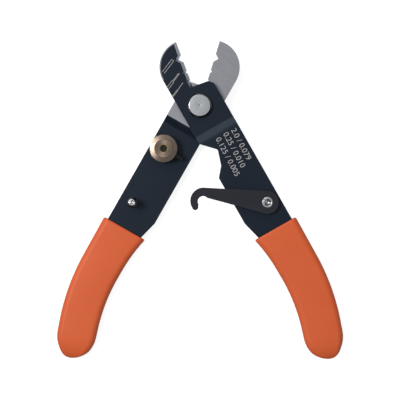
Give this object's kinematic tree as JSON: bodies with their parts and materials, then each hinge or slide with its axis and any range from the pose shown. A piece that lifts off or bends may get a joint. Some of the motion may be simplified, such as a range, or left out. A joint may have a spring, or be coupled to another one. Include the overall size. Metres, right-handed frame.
{
  "type": "fibre stripper",
  "caption": "Handheld fibre stripper: two crossed steel levers with ground V-notch jaws, a screw stop, a lock hook with its stud, a return spring and dipped grips.",
  "frame": {"origin": "on the pivot's axis, at the back end of the pivot bolt, flush with the nut's back", "axes": "+Z along the pivot towards the front of the tool, +Y towards the jaws on the tool's centre line, +X towards the front lever's handle"},
  "size_m": [0.126, 0.1399, 0.0125],
  "materials": {
    "black_oxide": "satin black oxide on steel, bright where ground",
    "bright_steel": "turned and ground steel",
    "dark_steel": "matte black oxide",
    "brass": "turned, slightly dull",
    "vinyl_orange": "dipped vinyl, soft satin"
  },
  "bodies": {
    "rear_half": {"rear_lever": "black_oxide", "rear_grip": "vinyl_orange", "pivot_bolt": "bright_steel", "pivot_washer": "brass", "pivot_nut": "dark_steel", "back_washer": "bright_steel", "return_spring": "bright_steel", "latch_stud": "bright_steel", "stop_post": "brass", "post_nut": "dark_steel", "lock_screw": "dark_steel"},
    "front_half": {"front_lever": "black_oxide", "front_grip": "vinyl_orange", "hook_washer": "bright_steel", "hook_rivet": "bright_steel"},
    "hook": {"lock_hook": "dark_steel"},
    "stop": {"stop_screw": "dark_steel"}
  },
  "joints": [
    {"name": "handle_pivot", "type": "hinge", "parent": "rear_half", "child": "front_half", "pos_m": [0, 0, 0.0058], "axis": [0, 0, 1], "range_deg": [-38.4, 0], "stiffness_Nm_per_rad": 0.8, "springref_deg": 8.59, "deforming": ["return_spring"]},
    {"name": "hook_pivot", "type": "hinge", "parent": "front_half", "child": "hook", "pos_m": [0.0297, -0.04258, 0.0109], "axis": [0, 0, 1], "range_deg": [-60, 19.7]},
    {"name": "stop_adjust", "type": "slide", "parent": "rear_half", "child": "stop", "axis": [-0.8686, 0.4955, 0], "range_m": [0, 0.001]}
  ]
}
